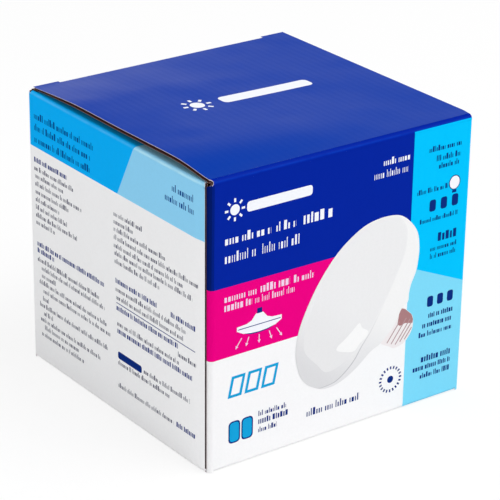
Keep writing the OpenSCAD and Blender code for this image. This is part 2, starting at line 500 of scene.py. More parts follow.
# Edges of the colour fields, in millimetres on the panels
fields = {
    "blueFrom": 77.8,
    "blueTilt": 0.006,          # the blue field's lower edge isn't quite level
    "foldShadeFrom": 61.9,           # where the fold's painted shade starts, to the left
    "edgeShadeFrom": 62.8,
    "magentaFrom": 48.5,
    "columnFrom": 34.3,
    "columnTop": 121.8,
    "columnSplit": ((0.3987, 0, 0.917), 72.0),
    "bandFrom": 97.8,
    "bandSplit": ((0, 0.888, 0.46), 42.54),
}
splitNormal, splitReach = fields["columnSplit"]
underSplit = (tuple(-part for part in splitNormal), -splitReach)
columnSide = ((1, 0, 0), fields["columnFrom"])
columnCap = ((0, 0, -1), -fields["columnTop"])
blueSide = ((fields["blueTilt"], 0, 1), fields["blueFrom"])
bandSide = ((0, 0, 1), fields["bandFrom"])
frontFields = [
    (printMagenta, [((0, 0, 1), fields["magentaFrom"])]),
    (printBlue, [blueSide]),
    # painted shade round the front panel's left fold, in two steps, darkest at its edge and on the glue flap
    (foldShadeBlue, [blueSide, ((-1, 0, 0), fields["foldShadeFrom"])]),
    (edgeShadeBlue, [blueSide, ((-1, 0, 0), fields["edgeShadeFrom"])]),
    (printCyan, [columnSide, columnCap]),
    (printPaleCyan, [columnSide, underSplit]),
]
sideFields = [
    (sidePaleCyan, [bandSide]),
    (sideCyan, [bandSide, fields["bandSplit"]]),
]
backFields = [(printBlue, [((0, 0, 1), fields["blueFrom"])])]
creaseFields = [(printCyan, [columnSide, columnCap])]
alongFlutes = (1, 1, 0.25)      # the fibres are drawn out upwards

boardSlots = [
    printedPaper("frontPaper", paperWhite, frontFields),
    printedPaper("sidePaper", paperWhite, sideFields, "Y", varnish["sideWearHighlight"]),
    printedPaper("backPaper", paperWhite, backFields),
    printedPaper("lidPaper", lidBlue, specular=varnish["lidSpecular"], warp=varnish["lidWarp"]),
    printedPaper("creasePaper", printBlue, creaseFields, rubAndHighlight=varnish["creaseWearHighlight"]),
    printedPaper("plainPaper", paperWhite),
    kraftPaper("kraftLiner", srgb(164, 134, 112), srgb(130, 103, 84), alongFlutes),
    kraftPaper("kraftCut", srgb(152, 118, 112), srgb(112, 82, 78)),
    kraftPaper("flutingMedium", srgb(116, 70, 60), srgb(70, 41, 36), alongFlutes),
    # a darker copy of the fluting: painted shade for the medium inside the carton's closed board
    kraftPaper("paintedShadeMedium", srgb(66, 42, 38), srgb(38, 24, 23), alongFlutes),
    kraftPaper("linerCut", srgb(232, 221, 225), srgb(204, 188, 194)),
]
(slotFront, slotSide, slotBack, slotLid, slotCrease, slotPlain, slotKraft, slotKraftEdge, slotFlute,
 slotPaintedShade, slotEdge) = range(len(boardSlots))
print("materials made")


def useBoardSlots(obj, slot):
    obj.data.materials.clear()
    for material in boardSlots:
        obj.data.materials.append(material)
    for face in obj.data.polygons:
        face.material_index = slot


# Gives a slot to the faces whose middle and normal pass the test
def paint(obj, slot, test):
    for face in obj.data.polygons:
        if test(face.center / mm, face.normal):
            face.material_index = slot


# The sheet is the outside of the board: a printed liner under it, and a kraft liner on the far
# side. An offset past the last slot is held at it, so the printed liner's cut edge gets slotEdge
def makeLiners(sheet, name, liner=board["liner"]):
    inner = copyPiece(sheet, name + "Inner")
    useBoardSlots(inner, slotFlute)
    applyModifier(sheet, "SOLIDIFY", thickness=liner * mm, offset=-1, use_even_offset=True,
                  material_offset=len(boardSlots), material_offset_rim=len(boardSlots))
    for face in sheet.data.polygons:        # only the narrow faces of the cut edge stay pale
        corners = [sheet.data.vertices[index].co for index in face.vertices]
        narrow = min((a - b).length for a, b in zip(corners, corners[1:] + corners[:1]))
        if face.material_index == slotEdge and narrow > liner * board["paleEdge"] * mm:
            face.material_index = slotFlute
    depth = 2 * (board["thick"] - liner) / liner + 1   # where the slab lies, in half thicknesses
    applyModifier(inner, "SOLIDIFY", thickness=liner * mm, offset=-depth, use_even_offset=True,
                  material_offset=slotKraft - slotFlute, material_offset_rim=slotKraftEdge - slotFlute)
    return [sheet, inner]


# Corrugated sheet under a panel: width across the flutes, length along them. place puts its
# middle on the panel's outside, with the outside along +Z
def makeFlutes(name, place, width, length, fluteTurn=0):
    count = max(1, int(width / board["pitch"]))
    steps = count * board["waveSteps"]
    bpy.ops.object.select_all(action="DESELECT")
    bpy.ops.mesh.primitive_grid_add(x_subdivisions=steps, y_subdivisions=1, size=1)
    flutes = bpy.context.object
    flutes.name = name
    startEdit(flutes)
    bpy.ops.mesh.select_all(action="SELECT")
    bpy.ops.transform.resize(value=(count * board["pitch"] * mm, length * mm, 1))
    endEdit()
    swing = (board["thick"] - 2 * board["liner"] - board["medium"]) / 2
    for vertex in flutes.data.vertices:
        turn = 2 * math.pi * vertex.co.x / (board["pitch"] * mm)
        vertex.co.z = swing * mm * math.sin(turn)
    applyModifier(flutes, "SOLIDIFY", thickness=board["medium"] * mm, offset=0)
    flutes.data.transform(Matrix.Rotation(math.radians(fluteTurn), 4, "Z"))
    flutes.data.transform(Matrix.Translation(vec(0, 0, -board["thick"] / 2)))
    flutes.data.transform(place)
    useBoardSlots(flutes, slotFlute)
    return flutes


# Place for an upright panel that faces front, left, right or back
def standing(x, y, z, facing):
    turn = {"front": 0, "right": 90, "back": 180, "left": -90}[facing]
    return Matrix.Translation(vec(x, y, z)) @ Matrix.Rotation(math.radians(turn), 4, "Z") @ faceFront


cartonShape = {
    "glueSink": 0.05,           # how far the glue flap is pressed into the left panel
    "glueLength": 15,
    "glueSlope": 5,
    "glueBleed": 3,             # how far the front's print runs on to the glue flap
    "glueDrop": (0.8, 0.9),     # fall of the cut round the fold, and along the flap
    "sideBleed": 1.3,           # how far the side's print runs round its upright folds
    "rawTop": 3.0,              # how far the left panel's cut edge stands back
    "rawLow": 1.7,
    "rawPress": 0.4,            # share of its thickness that the board loses there
    "rawRun": 6,
    "rawCuts": (0.25, 0.5, 0.75, 1),
    "sideFold": 1.6,            # outside radius of the dust flaps' folds
    "cornerRise": 1.6,          # how far the upright folds reach past the side's folds
    "cornerDrop": 1.8,
    "bottomHalf": 59.9,
    "seam": 16,
    "seamGap": 0.8,
    "seamChamfer": 12,
    "dustLean": 4,              # degrees by which the dust flaps hang into the box
    "dustFront": 4.0,
    "dustBack": 4.5,
    "dustFlat": 44,
    "dustRoot": 12,
    "dustStep": 5,
    "dustTaper": 4,
    "dustCorner": 8,
    "cornerSteps": 8,
    "innerRoot": 0.3,
    "innerClimb": 2.5,
    "innerLength": 46,
    "innerChamfer": 26,
    # a face is printed as part of a panel if its normal is past these
    "upNormal": 0.9,
    "backNormal": 0.6,
    "frontNormal": 0.05,
}

foldX, foldY = halfW - fold, halfD - fold              # where the flat panels end
lowZ, wallTop, creaseZ = fold, seatTop - fold, topZ - fold
middleZ, wallHeight = (lowZ + wallTop) / 2, wallTop - lowZ
glueX = -halfW + board["thick"] - cartonShape["glueSink"]      # outside of the glue flap
glueEnd = -foldY + cartonShape["glueLength"]
bleedY = -foldY + cartonShape["glueBleed"]
rawY = -halfD + cartonShape["rawTop"]
dustX = halfW - cartonShape["sideFold"]
dustY0, dustY1 = -halfD + cartonShape["dustFront"], halfD - cartonShape["dustBack"]
innerRoot = foldY - cartonShape["innerRoot"]
seam, seamEdge, bottomHalf = cartonShape["seam"], cartonShape["seamGap"] / 2, cartonShape["bottomHalf"]
seamStops = [-bottomHalf, -bottomHalf + cartonShape["seamChamfer"], -seam - seamEdge, seam - seamEdge,
             bottomHalf]


# Extrudes the selected upright edge along a wall, from stop to stop
def walkWall(stops, axis):
    for here, there in zip(stops, stops[1:]):
        step = [0, 0, 0]
        step[axis] = there - here
        extrude(*step)


# The blank grows from the glue flap, round the four panels
def wrapWalls(sheet):
    slope = cartonShape["glueSlope"]
    for z, rise in ((lowZ, slope), (wallTop, -slope)):
        pick(sheet, lambda p: near(p.y, glueEnd) and near(p.z, z))
        shift(0, 0, rise)
    pickEdges(sheet, lambda p: near(p.y, bleedY))
    extrude(0, -cartonShape["glueBleed"], 0)
    foldOver(90, (glueX + fold, -foldY, 0), (0, 0, 1))
    walkWall([glueX + fold, *seamStops, foldX], 0)
    foldOver(90, (foldX, -foldY, 0), (0, 0, 1))
    walkWall([-foldY, dustY0, dustY1, innerRoot, foldY], 1)
    foldOver(90, (foldX, foldY, 0), (0, 0, 1))
    walkWall([foldX, *[-x for x in seamStops], -foldX], 0)
    foldOver(90, (-foldX, foldY, 0), (0, 0, 1))
    walkWall([foldY, innerRoot, dustY1, dustY0, rawY], 1)
    pick(sheet, lambda p: near(p.x, -halfW) and near(p.y, rawY) and near(p.z, lowZ))
    shift(0, cartonShape["rawLow"] - cartonShape["rawTop"], 0)


# Takes the front panel up to the crease, its ends cut square above the upright folds, and the back
# panel up under the lid
def raiseWalls(sheet):
    pickEdges(sheet, lambda p: p.y < bleedY + slack and near(p.z, wallTop)
              and p.x < (halfW + slack if p.y < -foldY - slack else glueX + slack))
    extrude(0, 0, creaseZ - wallTop)
    mesh = bmesh.from_edit_mesh(sheet.data)
    roundFold, alongFlap = cartonShape["glueDrop"]
    for vertex in mesh.verts:       # the cut runs down round both front folds
        x, y, z = vertex.co / mm
        if vertex.select and x > 0:
            vertex.co.z -= min(1, max(x - creaseX1, 0) / (halfW - creaseX1)) * (creaseZ - wallTop) * mm
        elif vertex.select:
            vertex.co.z -= roundFold * min(1, (y + halfD) / fold) ** 2 * mm
            vertex.co.z -= alongFlap * max(0, (y + foldY) / cartonShape["glueBleed"]) * mm
    bmesh.update_edit_mesh(sheet.data)
    pickEdges(sheet, lambda p: near(p.y, halfD) and near(p.z, wallTop))
    extrude(0, 0, fold)


# The upright folds reach up and down into the corners
def extendFolds(sheet):
    for z, reach in ((wallTop, cartonShape["cornerRise"]), (lowZ, -cartonShape["cornerDrop"])):
        pickEdges(sheet, lambda p: near(p.z, z) and abs(p.x) > foldX - touch
                  and (p.y > foldY - touch or (z == lowZ and p.x > 0 and p.y < -foldY + touch)))
        extrude(0, 0, reach)
    pickEdges(sheet, lambda p: near(p.z, lowZ) and p.y < -foldY + touch
              and glueX - touch < p.x < glueX + fold + touch)
    extrude(0, 0, -cartonShape["cornerDrop"])


# Dust flap: folded in, a square root beside the lock slit, a step and a tapered tongue
def foldDustFlap(sheet, side):
    shape = cartonShape
    pickEdges(sheet, lambda p: near(p.x, side * halfW) and near(p.z, wallTop) and abs(p.y) < foldY + slack)
    extrude(0, 0, fold - shape["sideFold"])
    foldOver(-90 * side, (side * dustX, 0, seatTop - shape["sideFold"]), (0, 1, 0))
    pickEdges(sheet, lambda p: near(p.x, side * dustX) and near(p.z, seatTop)
              and dustY0 - slack < p.y < dustY1 + slack)
    extrude(-side * shape["dustRoot"], 0, 0)
    extrude(-side * shape["dustStep"], 0, 0)
    stepX, endX = dustX - shape["dustRoot"] - shape["dustStep"], dustX - shape["dustFlat"]
    pick(sheet, lambda p: near(p.x, side * stepX) and near(p.z, seatTop) and p.y > 0)
    shift(0, -shape["dustStep"], 0)
    pickEdges(sheet, lambda p: near(p.x, side * stepX) and near(p.z, seatTop))
    extrude(side * (endX - stepX), 0, 0)
    taper = (stepX - endX) * math.tan(math.radians(shape["dustTaper"]))
    for back in (True, False):
        pick(sheet, lambda p: near(p.x, side * endX) and near(p.z, seatTop) and (p.y > 0) == back)
        shift(0, -taper if back else taper, 0)
    pick(sheet, lambda p: near(p.x, side * endX) and near(p.z, seatTop))
    bpy.ops.mesh.bevel(affect="VERTICES", offset=shape["dustCorner"] * mm, segments=shape["cornerSteps"])


# Inner bottom flap of a side panel, which climbs onto the outer ones, and outer bottom flap of the
# front or back panel, up to the stepped seam
def foldBottomFlaps(sheet, side):
    shape = cartonShape
    pickEdges(sheet, lambda p: near(p.x, side * halfW) and near(p.z, lowZ))
    foldOver(90 * side, (side * foldX, 0, lowZ), (0, 1, 0))
    pickEdges(sheet, lambda p: near(p.x, side * foldX) and near(p.z, 0) and abs(p.y) < innerRoot + slack)
    extrude(-side * shape["innerClimb"], 0, board["thick"])
    flatX, endX = foldX - shape["innerClimb"], foldX - shape["innerLength"]
    extrude(-side * (flatX - endX - shape["innerChamfer"]), 0, 0)
    extrude(-side * shape["innerChamfer"], 0, 0)
    tip = (innerRoot - shape["innerChamfer"]) / innerRoot
    bpy.ops.transform.resize(value=(1, tip, 1), center_override=vec(side * endX, 0, board["thick"]))

    pickEdges(sheet, lambda p: near(p.y, -side * halfD) and near(p.z, lowZ) and abs(p.x) < foldX + slack)
    foldOver(90 * side, (0, -side * foldY, lowZ), (1, 0, 0))
    pickEdges(sheet, lambda p: near(p.y, -side * foldY) and near(p.z, 0) and abs(p.x) < bottomHalf + slack)
    extrude(0, side * (foldY - seam - seamEdge), 0)
    pickEdges(sheet, lambda p: near(p.y, -side * (seam + seamEdge)) and near(p.z, 0)
              and side * p.x < seam - seamEdge + slack)
    extrude(0, side * 2 * seam, 0)
    pick(sheet, lambda p: near(p.x, side * (seam - seamEdge)) and near(p.y, side * (seam - seamEdge)))
    shift(0, -side * 2 * seam, 0)
    pick(sheet, lambda p: near(p.x, -side * bottomHalf) and near(p.y, side * (seam - seamEdge)))
    shift(0, -side * shape["seamChamfer"], 0)


# The dust flaps hang a little, and the panel's corner at the cut edge isn't folded over
def hangDustFlaps(sheet, lean):
    radius = cartonShape["sideFold"]
    for vertex in sheet.data.vertices:
        x, y, z = vertex.co / mm
        if near(z, seatTop) and abs(y) < foldY + slack and abs(x) < dustX:
            vertex.co.z -= (dustX - abs(x)) * math.tan(lean) * mm
        if near(y, rawY) and x < 0 and z > seatTop - radius + touch:
            turn = math.atan2(z - seatTop + radius, -dustX - x)
            vertex.co = vec(-halfW, y, seatTop - radius * (1 - turn))


def paintCarton(sheet):
    shape = cartonShape
    useBoardSlots(sheet, slotPlain)
    paint(sheet, slotSide, lambda p, n: abs(p.x) > foldX - shape["dustRoot"] and p.z > lowZ
          and abs(p.y) < foldY + shape["sideBleed"] and (abs(p.x) > foldX or n.z > shape["upNormal"]))
    paint(sheet, slotBack, lambda p, n: p.y > foldY + slack and n.y > shape["backNormal"] and p.z > lowZ)
    paint(sheet, slotFront, lambda p, n: p.y < -foldY and abs(p.x) < halfW and n.y < -shape["frontNormal"])
    paint(sheet, slotFront, lambda p, n: p.y < bleedY and near(p.x, glueX) and lowZ < p.z < creaseZ)


def makeCartonFlutes(lean):
    shape = cartonShape
    frontLength, sideLength = foldX - glueX - fold, 2 * foldY
    flutes = [
        makeFlutes("frontFlutes", standing((glueX + fold + foldX) / 2, -halfD, middleZ, "front"), frontLength,
                   wallHeight),
        makeFlutes("rightFlutes", standing(halfW, 0, middleZ, "right"), sideLength, wallHeight),
        makeFlutes("leftFlutes", standing(-halfW, 0, middleZ, "left"), sideLength, wallHeight),
        makeFlutes("backFlutes", standing(0, halfD, (lowZ + seatTop) / 2, "back"), 2 * foldX,
                   seatTop - lowZ),
    ]
    dustMiddle, dustWidth = (dustY0 + dustY1) / 2, dustY1 - dustY0
    rootX = dustX - shape["dustRoot"] / 2
    tongueLength = shape["dustFlat"] - shape["dustRoot"] - shape["dustStep"]
    tongueX = dustX - shape["dustFlat"] + tongueLength / 2
    tongueWidth = dustWidth - 2 * shape["dustCorner"] - shape["dustStep"]
    for side in (1, -1):
        for name, x, y, width, length in (
                ("dustRootFlutes", rootX, dustMiddle, dustWidth, shape["dustRoot"]),
                ("dustFlutes", tongueX, dustMiddle - shape["dustStep"] / 2, tongueWidth, tongueLength)):
            middle = vec(side * x, y, seatTop - (dustX - x) * math.tan(lean))
            hung = Matrix.Translation(middle) @ Matrix.Rotation(-side * lean, 4, "Y")
            flutes.append(makeFlutes(name, hung, width, length, 90))
    return flutes


# The board is pressed thin at the left panel's cut edge
def pressCutEdge(carton):
    shape = cartonShape
    startEdit(carton)
    cutAcross((0, 1, 0), [rawY + share * shape["rawRun"] for share in shape["rawCuts"]])
    endEdit()
    inside = -halfW + board["thick"]
    for vertex in carton.data.vertices:
        x, y, z = vertex.co / mm
        if x < inside:
            pressed = shape["rawPress"] * ease(1 - (y - rawY) / shape["rawRun"])
            vertex.co.x += (inside - x) * pressed * mm


def makeCarton():
    lean = math.radians(cartonShape["dustLean"])
    sheet = addPlate("cartonPaper", (glueX, (bleedY + glueEnd) / 2, middleZ), faceLeft, glueEnd - bleedY,
                     wallHeight)
    startEdit(sheet)
    wrapWalls(sheet)
    raiseWalls(sheet)
    extendFolds(sheet)
    for side in (1, -1):
        foldDustFlap(sheet, side)
        foldBottomFlaps(sheet, side)
    closeSheet()
    facesOutward(sheet, (0, -halfD, middleZ), (0, -1, 0))
    hangDustFlaps(sheet, lean)
    paintCarton(sheet)
    carton = joinPieces(makeLiners(sheet, "carton") + makeCartonFlutes(lean), "cartonBoard")
    # painted shade: the carton's medium, closed inside its board, takes the darker copy of the fluting
    for face in carton.data.polygons:
        if face.material_index == slotFlute:
            face.material_index = slotPaintedShade
    pressCutEdge(carton)
    smooth(carton)
    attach(carton, "carton")
    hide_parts("carton")


makeCarton()
print("carton folded")

lidShape = {
    "cells": 32,                # faces each way on the lid panel
    "liner": 0.18,
    "tuckGap": 0.3,             # between the tuck fold and the back panel
    "tuckLength": 25,
    "tuckHalf": 62.5,
    "tuckLean": 6.64,
    "tuckCorner": 14,
    "cornerSteps": 10,
    "slit": 12,
    # how high the left edge has sprung, along y
    "spring": [(-62.3, 0), (-58, 0.3), (-53, 0.95), (-42, 1.9), (-21, 1.8), (0, 1.6), (29, 1.6), (43, 0.9),
               (54, 0.1), (62.5, -0.5)],
    "springRun": 105,           # it fades out over this width
    "crush": 0.4,               # share of its thickness that the board loses at the back left corner
    "crushFrom": 27,
    "crushRun": 32,
}
lidY0, lidY1 = -foldY, halfD - board["thick"] - lidShape["tuckGap"] - fold
lidMiddle, lidWidth, lidLength = (lidLow.x + lidHigh.x) / 2, lidHigh.x - lidLow.x, lidY1 - lidY0


# The lid's left edge has sprung up, and its back left corner is pressed down
def springLid(obj):
    shape = lidShape
    for vertex in obj.data.vertices:
        x, y, z = vertex.co / mm
        y = min(y, lidY1)
        fade = ease(1 - (x - lidLow.x) / shape["springRun"])
        depth = min(board["thick"], max(0, topZ - z))
        crushed = depth * shape["crush"] * ease((y - shape["crushFrom"]) / shape["crushRun"])
        vertex.co.z += (curveAt(shape["spring"], y) + crushed) * fade * mm


# Folds the tuck flap down between the two lock slits, and gives it its round corners
def foldTuckFlap(sheet, slitX0, slitX1):
    shape = lidShape
    lean = math.radians(shape["tuckLean"])
    pickEdges(sheet, lambda p: near(p.y, lidY1) and slitX0 - slack < p.x < slitX1 + slack)
    foldOver(-90 - shape["tuckLean"], (0, lidY1, topZ - fold), (1, 0, 0))
    extrude(0, -shape["tuckLength"] * math.sin(lean), -shape["tuckLength"] * math.cos(lean))
    flapTop = topZ - fold - fold * math.sin(lean)
    for slitX, flapX in ((slitX0, -shape["tuckHalf"]), (slitX1, shape["tuckHalf"])):
        pickEdges(sheet, lambda p: near(p.x, slitX) and p.z < flapTop + slack)
        extrude(flapX - slitX, 0, 0)
    pick(sheet, lambda p: near(abs(p.x), shape["tuckHalf"]) and p.z < topZ - shape["tuckLength"])
    bpy.ops.mesh.bevel(affect="VERTICES", offset=shape["tuckCorner"] * mm, segments=shape["cornerSteps"])


def makeLid():
    shape = lidShape
    sheet = addPlate("lidPaper", (lidMiddle, (lidY0 + lidY1) / 2, topZ), faceUp, lidWidth, lidLength)
    startEdit(sheet)
    bpy.ops.mesh.select_all(action="SELECT")
    bpy.ops.mesh.subdivide(number_cuts=shape["cells"] - 1)
    pick(sheet, lambda p: near(p.x, lidHigh.x) and near(p.y, lidY0))
    shift(creaseX1 - lidHigh.x, 0, 0)
    slitX0, slitX1 = lidLow.x + shape["slit"], lidHigh.x - shape["slit"]
    cutAcross((1, 0, 0), (slitX0, slitX1))      # cuts that end in the two lock slits
    for low, high in ((lidLow.x, slitX0), (slitX1, lidHigh.x)):
        pickEdges(sheet, lambda p: near(p.y, lidY1) and low - slack < p.x < high + slack)
        extrude(0, fold, 0)
    foldTuckFlap(sheet, slitX0, slitX1)
    closeSheet()
    facesOutward(sheet, (0, 0, topZ), (0, 0, 1))
    useBoardSlots(sheet, slotLid)
    paint(sheet, slotPlain, lambda p, n: p.z < topZ - fold)
    pieces = makeLiners(sheet, "lid", shape["liner"])
    flat = Matrix.Translation(vec(lidMiddle, (lidY0 + lidY1) / 2, topZ))
    flutes = makeFlutes("lidFlutes", flat, lidWidth, lidLength)
    startEdit(flutes)
    cutAcross((0, 1, 0), [lidY0 + lidLength * cut / shape["cells"] for cut in range(1, shape["cells"])])
    endEdit()
    lid = joinPieces(pieces + [flutes], "lidBoard")
    springLid(lid)
    smooth(lid)
    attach(lid, "lid")
    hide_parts("lid")


makeLid()
print("lid folded")

creaseShape = {
    # how far its left end stands in, from the front panel round to the lid
    "cut": [(-0.1, 0.2), (0, 0.3), (0.3, 0.85), (0.5, 0.95), (0.8, 0.5), (1, 0)],
    "liner": 0.38,
    "foot": 0.1,                # it starts this far down the front panel
    "steps": 32,
    "bend": 0.25,               # it bends this far either side of the score's middle, in y and z
}


# The scored fold between the front panel and the lid
def makeCrease():
    foot = creaseShape["foot"]
    sheet = addPlate("creasePaper", ((creaseX0 + creaseX1) / 2, -halfD, creaseZ - foot / 2), faceFront,
                     creaseX1 - creaseX0, foot)
    startEdit(sheet)
    pickEdges(sheet, lambda p: near(p.z, creaseZ))
    bpy.ops.mesh.spin(steps=creaseShape["steps"], angle=math.radians(90), center=vec(0, -foldY, creaseZ),
                      axis=(1, 0, 0))
    bpy.ops.mesh.select_all(action="SELECT")
    bpy.ops.mesh.normals_make_consistent(inside=False)
    endEdit()
    facesOutward(sheet, (0, -halfD, creaseZ), (0, -1, 0))
    for vertex in sheet.data.vertices:      # its left end is cut in a curve
        x, y, z = vertex.co / mm
        if near(x, creaseX0):
            around = math.degrees(math.atan2(z - creaseZ, -foldY - y)) / 90
            vertex.co.x += curveAt(creaseShape["cut"], around) * mm
    useBoardSlots(sheet, slotCrease)
    crease = joinPieces(makeLiners(sheet, "crease", creaseShape["liner"]), "creaseBoard")
    smooth(crease, weighted=False)
    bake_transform(crease)


makeCrease()
print("crease made")

# The bulb rests on its lens, cap up, as the solid in the frame does. Radii and heights
bulbLow, bulbHigh = [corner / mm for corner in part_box("led_bulb")]
bulb = {
    "radius": bulbHigh.x,
    "rimRadius": 6.5,
    "lensDome": 0.5,
    "lensStep": (1.4, 1.2),     # in from the rim and up from the seam
    "housingStep": (1.6, 1.3),
    "seam": 0.5,
    "seamTurn": (-4, 5),        # degrees round the rim at which lens and housing part
    "flare": 18,
    "flareSteps": 14,
    "flarePower": 1.8,
    "neck": 10,
    "neckRadius": 19,
    "neckTaper": 2.5,
    "neckRound": 0.8,
    "cap": 13.2,
    "capFoot": 3,               # how far the shell reaches down into the neck
    "capTurnIn": 2,
    "capRound": (0.6, 0.2),
    "shell": 20,
    "shellPlain": 1,            # what the thread leaves bare, below it and in all
    "shellStep": 0.45,
    "pitch": 3.6,
    "thread": 0.9,
    "threadFrom": 0.4,
    "threadTo": 0.2,
    "insulator": 4.2,
    "insulatorPlay": 0.4,
    "insulatorFoot": 1,
    "insulatorEdge": 0.3,
    "insulatorRing": 1.2,       # how far it stands out round the contact
    "contact": 5,
    "contactFoot": 0.5,
    "contactRound": 0.9,
    "contactDome": 0.1,
    "steps": 96,
    "weld": 0.002,
}
plastic = {"cloudScale": 220, "cloudDetail": 3, "dim": 0.94, "roughSpread": 0.15, "bump": 0.01}
opalDepth = (0.004, 0.004, 0.0035)      # how far light runs in the lens, in metres


def arc(centreR, centreZ, radius, start, end, count=10):
    turns = [math.radians(start + (end - start) * step / count) for step in range(count + 1)]
    return [(centreR + radius * math.cos(turn), centreZ + radius * math.sin(turn)) for turn in turns]


# A turned piece: its half outline, from the axis round to the axis, spun about Z
def turned(name, profile):
    bpy.ops.object.select_all(action="DESELECT")
    bpy.ops.mesh.primitive_plane_add(size=mm)
    piece = bpy.context.object
    piece.name = name
    startEdit(piece)
    bpy.ops.mesh.select_all(action="SELECT")
    bpy.ops.mesh.merge(type="CENTER")
    bpy.ops.transform.translate(value=vec(profile[0][0], 0, profile[0][1]))
    for (r0, z0), (r1, z1) in zip(profile, profile[1:]):
        extrude(r1 - r0, 0, z1 - z0)
    bpy.ops.mesh.select_all(action="SELECT")
    bpy.ops.mesh.spin(steps=bulb["steps"], angle=2 * math.pi, center=(0, 0, 0), axis=(0, 0, 1))
    closeSheet(bulb["weld"])
    return piece


# Winds the screw thread round the cap's shell, running out at both ends
def cutThread(piece, low, high):
    for vertex in piece.data.vertices:
        x, y, z = vertex.co / mm
        radius = math.hypot(x, y)
        if low < z < high and radius > 0:
            turn = math.atan2(y, x) - 2 * math.pi * z / bulb["pitch"]
            depth = bulb["thread"] * ease((z - low) / bulb["pitch"]) * ease((high - z) / bulb["pitch"])
            shrink = (radius - depth * (0.5 - 0.5 * math.cos(turn))) / radius
            vertex.co.x *= shrink
            vertex.co.y *= shrink


def plainFinish(name, colour, rough, metallic=0.0, glow=0.0):
    material, tree, shader = newMaterial(name)
    cloud = noise(tree, tree.nodes.new("ShaderNodeTexCoord").outputs["Object"], plastic["cloudScale"],
                  plastic["cloudDetail"])
    dimmer = tuple(part * plastic["dim"] for part in colour[:3]) + (1,)
    tree.links.new(mixColours(tree, cloud, dimmer, colour), shader.inputs["Base Color"])
    span = (rough * (1 - plastic["roughSpread"]), rough * (1 + plastic["roughSpread"]))
    tree.links.new(spread(tree, cloud, (0, 1), span), shader.inputs["Roughness"])
    tree.links.new(bumpOf(tree, cloud, plastic["bump"]), shader.inputs["Normal"])
    shader.inputs["Metallic"].default_value = metallic
    shader.inputs["Subsurface Weight"].default_value = glow
    shader.inputs["Subsurface Radius"].default_value = opalDepth
    return material


# Half outlines of the bulb's pieces, as radii and heights from the axis round to the axis
def bulbOutlines(neckTop, shellTop):
    foot, radius, rim = bulbLow.z, bulb["radius"], bulb["rimRadius"]
    flat, seamZ, shade = radius - rim, foot + rim, foot + 2 * rim
    lensIn, lensUp = bulb["lensStep"]
    lensTurn, housingTurn = bulb["seamTurn"]
    lens = [(0, foot + bulb["lensDome"]), (flat * 0.5, foot + bulb["lensDome"] * 0.6),
            *arc(flat, seamZ, rim, -90, lensTurn),
            (radius - lensIn, seamZ), (radius - lensIn, seamZ + lensUp), (0, seamZ + lensUp)]

    housingIn, housingUp = bulb["housingStep"]
    neckRadius, neckRound = bulb["neckRadius"], bulb["neckRound"]
    neckEnd = neckRadius - bulb["neckTaper"]
    housing = [(0, seamZ + housingUp), (radius - housingIn, seamZ + housingUp),
               (radius - housingIn, seamZ + bulb["seam"]), *arc(flat, seamZ, rim, housingTurn, 90)]
    for step in range(1, bulb["flareSteps"] + 1):
        share = step / bulb["flareSteps"]
        housing.append((neckRadius + (flat - neckRadius) * (1 - share) ** bulb["flarePower"],
                        shade + bulb["flare"] * share))
    housing += [(neckEnd, neckTop - neckRound), (neckEnd - neckRound, neckTop), (0, neckTop)]

    cap, capEnd = bulb["cap"], bulb["cap"] - bulb["capTurnIn"]
    roundIn, roundDown = bulb["capRound"]
    shellFoot, rows = neckTop - bulb["capFoot"], int((bulb["shell"] - bulb["shellPlain"]) / bulb["shellStep"])
    shell = [(0, shellFoot), (cap - bulb["thread"], shellFoot),
             *[(cap, neckTop + bulb["shellPlain"] + row * bulb["shellStep"]) for row in range(rows)],
             (cap - roundIn, shellTop - roundDown), (capEnd, shellTop), (0, shellTop)]

    insulatorR, insulatorFoot = capEnd - bulb["insulatorPlay"], shellTop - bulb["insulatorFoot"]
    insulatorTop = shellTop + bulb["insulator"]
    insulator = [(0, insulatorFoot), (insulatorR, insulatorFoot),
                 (insulatorR, shellTop + bulb["insulatorEdge"]),
                 (bulb["contact"] + bulb["insulatorRing"], insulatorTop), (0, insulatorTop)]
    contactR, contactFoot, corner = bulb["contact"], insulatorTop - bulb["contactFoot"], bulb["contactRound"]
    contact = [(0, contactFoot), (contactR, contactFoot), (contactR, bulbHigh.z - corner),
               (contactR - corner, bulbHigh.z - bulb["contactDome"]), (0, bulbHigh.z)]
    return lens, housing, shell, insulator, contact


def makeBulb():
    neckTop = bulbLow.z + 2 * bulb["rimRadius"] + bulb["flare"] + bulb["neck"]
    shellTop = neckTop + bulb["shell"]
    finishes = [
        ("bulbLens", plainFinish("opalLens", srgb(244, 244, 240), 0.42, glow=0.35)),
        ("bulbHousing", plainFinish("whiteHousing", srgb(238, 238, 236), 0.38)),
        ("bulbShell", plainFinish("nickelShell", srgb(206, 204, 200), 0.24, metallic=1.0)),
        ("bulbInsulator", plainFinish("blackGlass", srgb(24, 22, 26), 0.2)),
        ("bulbContact", plainFinish("tinContact", srgb(190, 188, 184), 0.34, metallic=1.0)),
    ]
    for (name, finish), outline in zip(finishes, bulbOutlines(neckTop, shellTop)):
        piece = turned(name, outline)
        if name == "bulbShell":
            cutThread(piece, neckTop + bulb["threadFrom"], shellTop - bulb["threadTo"])
        piece.data.materials.append(finish)
        smooth(piece, weighted=False)
        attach(piece, "carton")
        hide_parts("led_bulb")


makeBulb()
print("bulb turned")

# The print stands a little off the paper, so that its film never meets it
printing = {
    "film": 0.012,
    "clear": 0.01,              # the first film stands this far off the paper
    "layer": 0.014,
    "lidClear": 0.05,
    "foot": 0.1,                # room under the blocks, as a share of their row's height
    "tall": 0.95,               # height of the taller blocks, as such a share
    "tallShare": 0.25,          # how many are tall
    "gap": 0.17,
    "wordGap": 0.45,
    "wordLength": (2, 9),
    "rounding": 0.3,            # of a large bar's height
    "roundFrom": 2.6,           # smaller bars keep their square corners
    "seed": 21,
}
dice = random.Random(printing["seed"])

